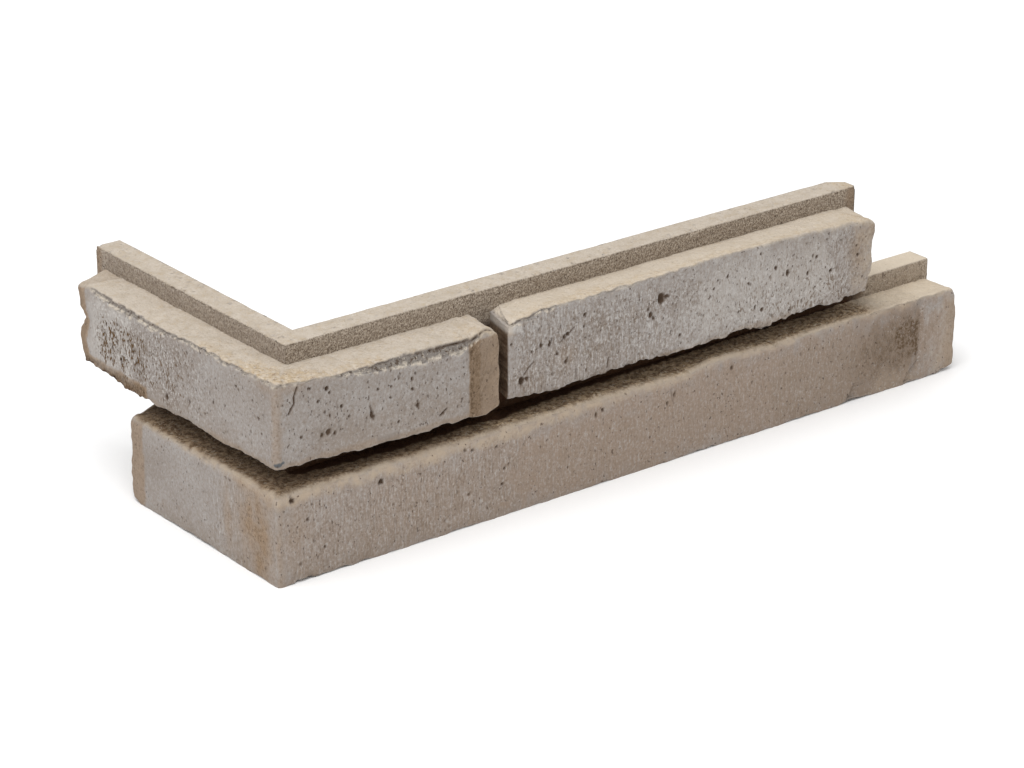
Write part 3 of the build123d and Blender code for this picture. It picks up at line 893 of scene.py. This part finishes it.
# Left end of the second brick, in the head joint: painted shadow, dark brown and ridged level by level
# below its broken top edge
def headJointShadow(values, grid, place, level, depth, over, upper):
    end = (1 - ramp(place, 142.8, 144.0)) * (1 - ramp(level + 0.25 * depth, 99, 102.5))
    ridges = fractal(np.stack([place * 0.1, depth * 0.1, level], -1), cast["ridge"], 81, 2)
    for name in ("chalk", "beige", "pit", "sand", "fleck"):
        values[name] = values[name] * (1 - end)
    # painted shadow on the end face: dark, brown and ridged
    values["joint"] = end * np.clip(0.36 - 0.4 * ridges, 0, 0.9)
    values["warm"] = np.maximum(values["warm"], end)
    values["stain"] = np.maximum(values["stain"] * (1 - end), 0.75 * end)
    # a paler top
    values["pale"] = 0.4 * upper


# Upper course, right: starts at the head joint with a broken top corner
secondBrick = {
    "name": "secondBrick", "origin": 200.0, "seed": 37, "step": 0.52, "rowStep": 0.53, "topStep": 0.85,
    "plan": [(149.5, buried), (144.3, 0), (400.5, 0), (401.5, buried)],
    "planRadii": (0.9, 2.2), "innerLow": (156.0, buried), "innerHigh": (389.5, buried),
    "top": slip["upperTop"], "foot": slip["upperFoot"], "footRadius": 0.7, "footJag": 1.0,
    "topWaves": [
        (120, 0.0), (140, -1.0), (143, -1.2), (150, -0.6), (158, 0.0), (168, 1.6), (204, 1.2), (259, 2.2),
        (287, 2.7), (322, 2.3), (349, 1.4), (374, 0.4), (392, -0.6), (400, -2.4), (412, -1.5), (425, 0.0),
    ],
    "footWaves": [
        (120, 0.0), (144, -0.3), (158, -1.2), (175, -2.6), (196, -1.9), (205, -2.0), (219, -1.0),
        (224, -1.8), (233, -0.6), (240, -3.0), (247, -2.6), (256, -1.8), (262, -1.6), (272, -2.8),
        (283, -2.0), (289, -3.2), (296, -0.5), (301, -0.4), (306, -1.2), (312, -2.0), (319, -4.6),
        (324, -3.8), (330, -1.6), (336, -2.3), (341, -0.6), (347, -2.2), (354, -1.7), (359, 0.0),
        (365, -2.3), (372, -2.6), (377, -2.2), (381, 0.4), (400, -0.4), (425, 0.0),
    ],
    "arris": [
        (120, 2.6), (143.5, 2.8), (146, 3.0), (150, 2.2), (156, 1.6), (300, 1.3), (370, 1.6), (392, 2.6),
        (400, 3.2),
    ],
    "arrisDeep": [
        (120, 6.0), (138, 4.5), (143.5, 3.0), (150, 2.0), (156, 1.6), (300, 1.3), (370, 1.6), (392, 2.6),
        (400, 3.2),
    ],
    "soft": [(120, 1.0), (240, 1.0), (300, 1.6), (350, 3.0), (420, 3.4)],
    "flat": [(120, 1.0), (145, 1.0), (152, 0.4), (160, 0.1), (400, 0.0)],
    "ragged": 1.0,
    "tear": [
        (120, 0.0), (143, 0.0), (147, 1.0), (158, 1.8), (170, 1.2), (180, 0.5), (220, 0.7), (240, 0.2),
        (300, 0.3), (340, 0.0), (400, 0.0),
    ],
    "creep": [(120, 0.0), (380, 0.0), (396, 1.5), (420, 2.0)],
    "fissure": [(120, 0.0), (144, 0.3), (160, 0.3), (172, 0.0), (420, 0.0)],
    "swell": 0.3, "grain": 0.13, "rolling": 0.35,
    "footRough": [(120, 0.3), (144, 0.5), (200, 1.0), (345, 1.2), (380, 0.6), (420, 0.4)],
    "rightEnd": [
        (62, 4.0), (65, 3.2), (73, 1.6), (76, 0.0), (81, -0.6), (88, 0.4), (93, 0.2), (99, -1.2),
        (103, -1.2), (109, 1.0),
    ],
    "cracks": [
        ([(155, 76), (158, 79.5), (161, 81.5)], 0.6), ([(179.0, 88.6), (184.0, 91.4), (187.6, 94.2)], 0.5),
        ([(210.6, 66.0), (211.4, 71.0)], 0.7), ([(190.0, 66.2), (189.4, 70.5)], 0.5),
    ],
    "flecks": [
        ((150, 396, 66, 105, 8), 0.9, 1.5, 0, 0.72, 0.6), ((150, 215, 68, 104, 8), 0.9, 3.5, 0, 0.8, 0.5),
        ((300, 350, 66, 86, 6), 1.0, 1.8, 0, 0.45, 0.7), ((382, 400, 70, 104, 3), 1.2, 2.0, 0, 0.4, 0.6),
    ],
    "fleckBrown": 0.7,
    "paint": {
        "warm": {
            "boxes": [(240, 330, 60, 64.0, 1.0, 0.4), (300, 345, 60, 65.5, 1.2, 0.35)],
            "spots": [(388, 89, 5, 12, 0.5), (398, 100, 4, 6, 0.4), (183, 80, 5, 6, 0.3)],
        },
        "beige": {"boxes": [(386, 440, 60, 110, 7, 0.6), (110, 147, 99, 112, 2, 0.8)]},
        "taupe": {"boxes": [(330, 392, 64, 100, 14, 0.3), (150, 215, 62, 84, 8, 0.25)]},
        "chalk": {
            "boxes": [
                (250, 330, 68, 86, 14, 0.2), (270, 368, 64, 104, 10, 0.27),
                (110, 152, 100.5, 112, 1.5, 0.5),
            ],
        },
        "drawn": {"boxes": [(146, 250, 62, 107, 4, 1.0), (250, 386, 62, 107, 14, 0.55)]},
        "sand": {
            "boxes": [
                (140, 290, 60, 108, 14, 0.4), (290, 384, 60, 84, 8, 0.5), (290, 410, 60, 108, 8, 0.25),
            ],
        },
        "fleck": {"boxes": [(150, 384, 64, 104, 6, 0.12), (290, 384, 62, 82, 8, 0.2)]},
    },
    "crust": {"boxes": [(180, 215, -1, 8, 5, 0.6), (144, 385, -2, 7, 2, 0.35), (385, 402, -1, 14, 4, 0.6)]},
    "holes": [
        (246.6, 96.1, 1.9, 1.5, 2.6), (250.4, 96.4, 1.7, 0.7, 1.0), (239.5, 88.4, 1.3, 1.0, 1.3),
        (238.0, 92.0, 0.8, 1.6, 0.9), (241.5, 86.0, 0.8, 1.6, 0.9), (171.7, 89.0, 0.9, 1.8, 1.5),
        (165.8, 89.4, 0.9, 1.2, 1.2), (181.4, 90.4, 1.1, 1.0, 1.5), (183.6, 91.6, 1.0, 1.0, 1.4),
        (186.0, 93.2, 0.6, 1.0, 0.8), (194.5, 93.0, 0.7, 1.0, 0.8), (153.2, 73.0, 1.5, 1.3, 2.4),
        (156.5, 73.6, 1.3, 0.9, 0.9), (176.8, 82.1, 0.8, 1.0, 0.9), (182.8, 76.3, 1.2, 1.0, 0.9),
        (146.5, 94.6, 0.8, 1.0, 0.8), (160.0, 87.4, 0.7, 1.0, 0.8), (194.8, 99.7, 0.9, 0.9, 1.0),
        (293.1, 97.9, 0.7, 1.8, 1.0), (286.2, 97.0, 0.8, 1.0, 0.9), (283.4, 92.9, 0.8, 1.0, 0.9),
        (308.5, 89.8, 0.7, 1.2, 0.8), (316.6, 105.0, 0.7, 1.2, 0.8), (327.6, 94.5, 0.9, 1.3, 1.1),
        (318.9, 72.3, 0.9, 1.2, 1.0), (313.7, 75.1, 0.7, 1.2, 0.8), (301.6, 75.2, 0.7, 1.2, 0.8),
        (260.4, 72.0, 0.8, 1.0, 0.9), (336.5, 89.4, 1.0, 1.6, 1.4), (351.3, 85.9, 0.9, 1.2, 1.1),
        (353.2, 92.9, 0.6, 1.0, 0.7), (357.7, 94.0, 0.8, 1.3, 1.0), (368.9, 83.3, 1.1, 1.0, 1.2),
        (364.8, 102.7, 0.5, 1.0, 0.7), (375.6, 99.4, 0.5, 1.0, 0.7), (350.0, 103.4, 0.5, 1.4, 0.6),
        (388.8, 88.3, 0.8, 1.2, 0.9), (387.4, 93.7, 0.6, 1.2, 0.7), (393.9, 74.1, 0.6, 1.4, 0.7),
        (338.7, 67.2, 0.9, 1.0, 0.9),
    ],
    "scattered": (8, 100, (150, 396), (66, 105), (0.4, 0.7), 0.6),
    "shadeAndLightPaint": headJointShadow,
}

for spec in (lowerBrick, cornerBrick, secondBrick):
    makeBrick(spec)


# A course of the joint plate as a closed tube: section (t, z)(v) with eased edges carried along the
# L from F(u) on the front line to B(u) on the back one, its end rings drawn in to round and close it.
def makePlate(spec):
    front, back = slip["projection"], slip["projection"] + slip["plate"]
    thick, low, high = slip["plate"], spec["low"], spec["high"]
    outline = [(0, spec["start"]), (0, high), (thick, high), (thick, low), (0, low), (0, spec["start"])]
    dense, length = roundedLine(outline, spec["edgeRadii"], 0.05)
    stops = np.concatenate([np.arange(a, b - step / 2, step) for a, b, step in spec["stretches"]])
    section = np.stack([np.interp(stops, length, dense[:, k]) for k in range(2)], 1)
    legs = [
        ((front, spec["short"]), (front, front), (back, spec["short"]), (back, back)),
        ((front, front), (spec["long"], front), (back, back), (spec["long"], back)),
    ]
    frontLine, backLine = [], []
    for a, b, c, d in legs:
        count = int(np.hypot(b[0] - a[0], b[1] - a[1]) / spec["step"])
        t = np.linspace(0, 1, count + 1)[:, None]
        frontLine.append((np.array(a) + (np.array(b) - a) * t)[:-1 if a[0] == b[0] else None])
        backLine.append((np.array(c) + (np.array(d) - c) * t)[:-1 if a[0] == b[0] else None])
    frontLine, backLine = np.concatenate(frontLine), np.concatenate(backLine)
    drawn = np.array([0.12, 0.3, 0.5, 0.7, 0.84, 0.93, 0.98])
    last = len(frontLine) - 1
    order = np.concatenate([np.zeros(len(drawn), int), np.arange(last + 1), np.full(len(drawn), last)])
    scale = np.concatenate([drawn, np.ones(len(frontLine)), drawn[::-1]])
    middle = np.array([thick / 2, (low + high) / 2])
    rings = middle + (section - middle)[None] * scale[:, None, None]
    share = rings[..., :1] / thick
    plan = frontLine[order][:, None] + (backLine[order] - frontLine[order])[:, None] * share
    grid = np.concatenate([plan, rings[..., 1:]], -1)
    normal = gridNormals(grid)
    values, relief = spec["look"](grid, rings[..., 0], normal)
    moved = grid + normal * relief[..., None]
    if "trim" in spec:
        moved = spec["trim"](moved)
    makePiece(spec["name"], moved, values)


# Upper course: the top lip, grained in front, coarser on the long leg, and smooth on top, with painted
# shade on its front below the lip
def upperLook(grid, depth, normal):
    x, y, z = grid[..., 0], grid[..., 1], grid[..., 2]
    front = ramp(-np.minimum(normal[..., 0], normal[..., 1]), 0.3, 0.8) * (depth < 4)
    nick = fractal(grid, upperPlate["nicks"], 199, 3)
    upper = ramp(normal[..., 2] + 0.5 * nick, 0.30, 0.8)
    rough = fractal(grid, upperPlate["grain"], 201, 3)
    coarse = np.where(y > x, 0.45, 1.0)                   # short leg, long leg
    lip = ramp(z, *upperPlate["lipFrom"])
    relief = 0.38 * (rough - 0.7) * front * lip * coarse
    relief += 0.16 * fractal(grid, upperPlate["waves"], 207, 2) * upper
    relief += 0.05 * fractal(grid, upperPlate["fine"], 211, 2)
    relief -= 0.7 * ramp(-nick, 0.1, 0.8) * ramp(z, 115.6, 117.4) * ramp(4.0 - depth, 0, 2.5)
    # painted shade in the deepest hollows of the grain
    pits = np.clip(-rough - 0.55, 0, 1) * front * lip * coarse
    long, short = upperPlate["long"], upperPlate["short"]
    ends = np.maximum(ramp(x, long - 9, long - 4), ramp(y, short - 7, short - 3)) * front * lip
    crusted = 0.35 * np.exp(-((x - 24) ** 2 + (y - 26) ** 2) / 60) + 0.5 * ramp(x, long - 15, long - 3)
    # painted shade on the front below the lip
    return {
        "upper": upper, "lip": front * lip * np.where(y > x, 0.65, 1.0), "joint": (1 - lip) * front * 0.9,
        "pit": pits, "warm": ends * 0.75, "taupe": np.clip(1 - upper, 0, 1) * 0.6,
        "sand": 0.3 - 0.2 * ramp(np.maximum(normal[..., 0], normal[..., 1]), 0.3, 0.8),
        "crust": upper * crusted,                         # at the inner corner and at the long end
    }, relief


# The back corner of the long end is broken off: points past the break are moved onto it
def brokenCorner(points):
    long, deep = 9.0, 7.0                                 # of the break, along the leg and across it
    across = np.array([deep, long]) / np.hypot(deep, long)
    chip = 0.8 * noise(points, (4.0, 4.0, 4.0), 221)
    start = (upperPlate["long"], slip["projection"] + slip["plate"] - deep)
    past = (points[..., :2] - start) @ across + 0.3 + chip * 0.4
    moved = points.copy()
    moved[..., :2] -= np.maximum(past, 0)[..., None] * across
    return moved


# Lower course: the joint strip, with painted shade on its front under the upper brick, and painted light on
# its front and top past it, where it is open to the light
def lowerLook(grid, depth, normal):
    x, y, z = grid[..., 0], grid[..., 1], grid[..., 2]
    front = ramp(-np.minimum(normal[..., 0], normal[..., 1]), 0.3, 0.8) * (depth < 4)
    upper = ramp(normal[..., 2], 0.4, 0.85)
    rough = fractal(grid, lowerPlate["grain"], 231, 3)
    middle, wide, height, tall = lowerPlate["nub"]
    nub = np.exp(-((x - middle) / wide) ** 4) * np.exp(-((z - height) / tall) ** 4) * front
    relief = 0.3 * (rough - 0.5) * front + 0.15 * fractal(grid, lowerPlate["waves"], 233, 2) * upper
    opened = ramp(x, *lowerPlate["openFrom"])
    # painted light past the upper brick, painted shade under it
    return {
        "upper": upper, "pale": upper * opened, "lip": front * opened, "joint": front * (1 - opened),
        # painted shade in the deepest hollows of the grain, and dark on the nub
        "pit": np.clip(-rough - 0.4, 0, 1) * front + 0.5 * nub * ramp(rough, -0.5, 0.3),
        "stain": nub * 0.9, "warm": nub, "taupe": np.clip(1 - upper - front, 0, 1) * 0.6,
        "beige": front * opened * 0.5, "sand": upper * 0 + 0.1,
    }, relief


# The upper plate starts a little below the top of the lower one, which leaves a hairline on the back
upperPlate = {
    "name": "upperPlate", "long": 405.0, "short": slip["size"][1], "step": 0.7,
    "low": slip["meeting"] - slip["overlap"], "high": slip["size"][2],
    "start": 90.0,                    # where the section starts on the front
    "edgeRadii": (1.3, 0.7, 0.3, 0.3),
    "stretches": [                    # (from, to, step) along the section, finest at the top edges
        (0, 16, 2.5), (16, 26, 0.5), (26, 31, 0.4), (31, 44, 0.9), (44, 100, 1.8), (100, 116, 2.5),
        (116, 144, 3.0),
    ],
    "grain": (1.3, 1.3, 1.8),         # sizes of its noise: front of the lip, nicks, waves and fine grain
    "nicks": (2.6, 2.6, 2.6),
    "waves": (12.0, 12.0, 8.0),
    "fine": (2.5, 2.5, 2.5),
    "lipFrom": (98, 102),             # heights between which the lip comes out of the shade
    "look": upperLook, "trim": brokenCorner,
}
lowerPlate = {
    "name": "lowerPlate", "long": 465.0, "short": 144.0, "step": 0.8,
    "low": 0.0, "high": slip["meeting"],
    "start": 30.0,
    "edgeRadii": (0.8, 0.6, 0.3, 0.3),
    "stretches": [
        (0, 18, 3.0), (18, 31, 0.65), (31, 47, 1.0), (47, 108, 1.7), (108, 124, 2.5), (124, 154, 3.0),
    ],
    "grain": (2.0, 2.0, 4.0),
    "waves": (11.0, 11.0, 8.0),
    "nub": (408.0, 6.5, 56.0, 5.5),   # brown lump on the strip: along, half width, height, half height
    "openFrom": (402, 412),           # where the strip comes out from under the upper brick: painted shade before, painted light after
    "look": lowerLook,
}
for spec in (upperPlate, lowerPlate):
    makePlate(spec)

# Floor, light and camera
studio = {
    "floor": (0.96, 0.96, 0.96),
    "floorRoughness": 0.95,
    "floorSize": 12.0,    # metres, as all sizes from here on
    "sky": 0.68,
    "lamp": 100.0,        # watts
    "lampPlace": (-1.3, -0.7, 3.2),
    "lampSize": 3.2,
}
floorMesh = bpy.data.meshes.new("floor")
half = studio["floorSize"] / 2
square = [(-half, -half, 0), (half, -half, 0), (half, half, 0), (-half, half, 0)]
floorMesh.from_pydata(square, [], [(0, 1, 2, 3)])
floor = bpy.data.objects.new("floor", floorMesh)
bpy.context.scene.collection.objects.link(floor)
floorPaint = bpy.data.materials.new("floorPaint")
floorPaint.use_nodes = True
floorShader = floorPaint.node_tree.nodes["Principled BSDF"]
floorShader.inputs["Base Color"].default_value = (*studio["floor"], 1)
floorShader.inputs["Roughness"].default_value = studio["floorRoughness"]
floorMesh.materials.append(floorPaint)

world = bpy.data.worlds.new("studio")
bpy.context.scene.world = world
world.use_nodes = True
background = world.node_tree.nodes["Background"]
background.inputs["Color"].default_value = (1, 1, 1, 1)
background.inputs["Strength"].default_value = studio["sky"]

lampData = bpy.data.lights.new("softbox", "AREA")
lampData.size = studio["lampSize"]
lampData.energy = studio["lamp"]
lamp = bpy.data.objects.new("softbox", lampData)
bpy.context.scene.collection.objects.link(lamp)
lamp.location = studio["lampPlace"]
lamp.rotation_euler = (-Vector(studio["lampPlace"])).to_track_quat("-Z", "Y").to_euler()

# Camera from the photo: its axes and place fitted to the casting's own edges
shot = {
    "right": (0.78628734, -0.61783928, 0.00518116),
    "up": (0.23668201, 0.30893595, 0.92116242),
    "back": (-0.57073097, -0.72307206, 0.38914387),
    "place": (-1.1096, -1.3932, 0.7701),
    "lens": 122.98,       # millimetres, on a sensor of this width
    "sensor": 36.0,
    "sight": 50.0,
}
cameraData = bpy.data.cameras.new("camera")
cameraData.sensor_width = shot["sensor"]
cameraData.lens = shot["lens"]
cameraData.clip_end = shot["sight"]
camera = bpy.data.objects.new("camera", cameraData)
bpy.context.scene.collection.objects.link(camera)
camera.matrix_world = Matrix([
    (shot["right"][k], shot["up"][k], shot["back"][k], shot["place"][k]) for k in range(3)
] + [(0, 0, 0, 1)])
bpy.context.scene.camera = camera
bpy.context.scene.view_settings.view_transform = "Standard"
